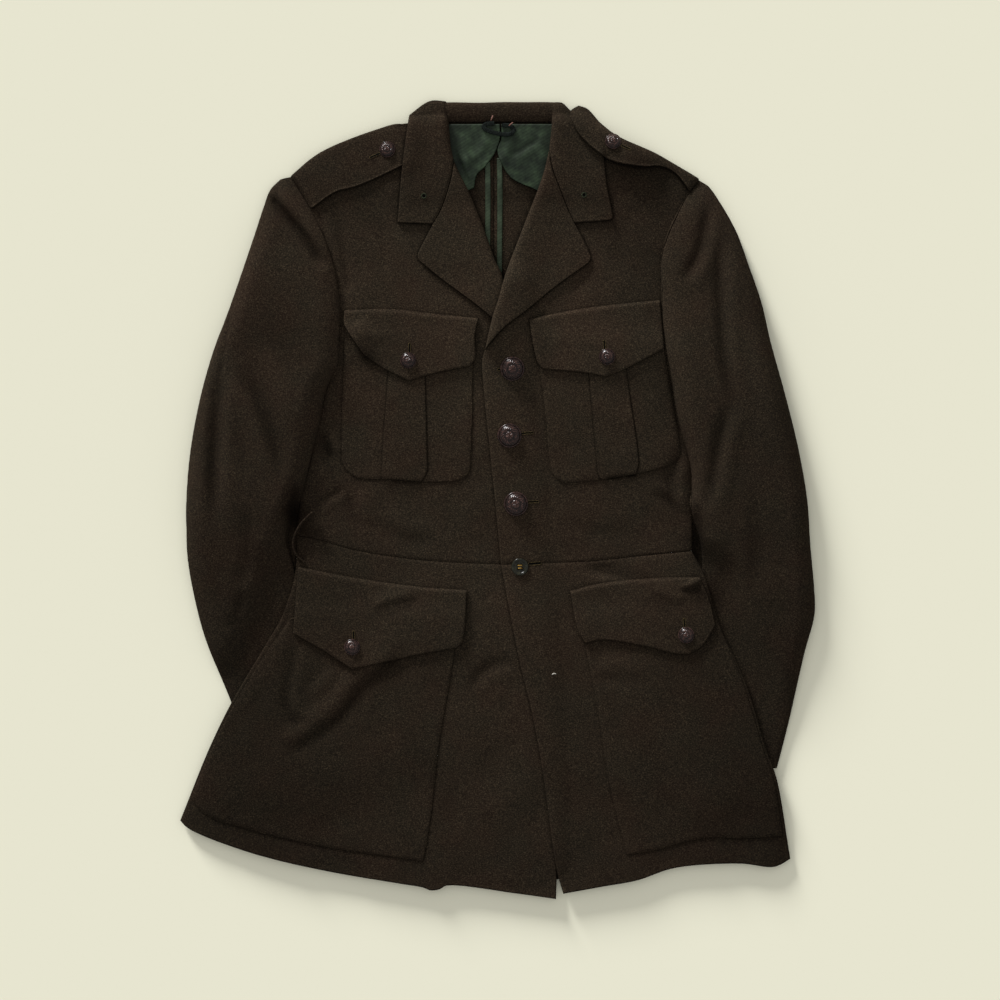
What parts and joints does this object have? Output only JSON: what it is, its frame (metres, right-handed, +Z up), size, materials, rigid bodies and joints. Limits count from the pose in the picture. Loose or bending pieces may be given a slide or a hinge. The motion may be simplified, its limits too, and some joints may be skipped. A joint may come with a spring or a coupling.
{
  "type": "military service jacket",
  "caption": "Wool military service jacket laid flat and buttoned, with notched lapels, shoulder straps, pleated chest pockets, a waist seam and deep lower pockets.",
  "frame": {"origin": "middle of the outline, on the surface that the jacket lies on", "axes": "+Y toward the collar, +Z up from the surface, +X to the right seen from above"},
  "size_m": [0.6621, 0.8325, 0.0272],
  "materials": {
    "wool": "brushed heathered wool",
    "lining": "smooth twill lining",
    "braid": "woven braid",
    "button_domed": "polished, worn",
    "button_flat": "satin"
  },
  "bodies": {
    "root": {"back_left": "wool", "back_right": "wool", "front_left": "wool", "front_right": "wool", "skirt_left": "wool", "skirt_right": "wool", "sleeve_top_left": "wool", "sleeve_under_left": "wool", "sleeve_top_right": "wool", "sleeve_under_right": "wool", "collar": "wool", "lapel_left": "wool", "lapel_right": "wool", "strap_left": "wool", "strap_right": "wool", "chest_pocket_left": "wool", "chest_pocket_right": "wool", "chest_flap_left": "wool", "chest_flap_right": "wool", "lower_pocket_left": "wool", "lower_pocket_right": "wool", "lower_flap_left": "wool", "lower_flap_right": "wool", "belt_loop": "wool", "lining_left": "lining", "lining_right": "lining", "binding_left": "lining", "binding_right": "lining", "hanger_loop": "braid", "button_front_1": "button_domed", "button_front_2": "button_domed", "button_front_3": "button_domed", "button_chest_left": "button_domed", "button_chest_right": "button_domed", "button_lower_left": "button_domed", "button_lower_right": "button_domed", "button_strap_left": "button_domed", "button_strap_right": "button_domed", "button_waist": "button_flat"}
  },
  "joints": []
}
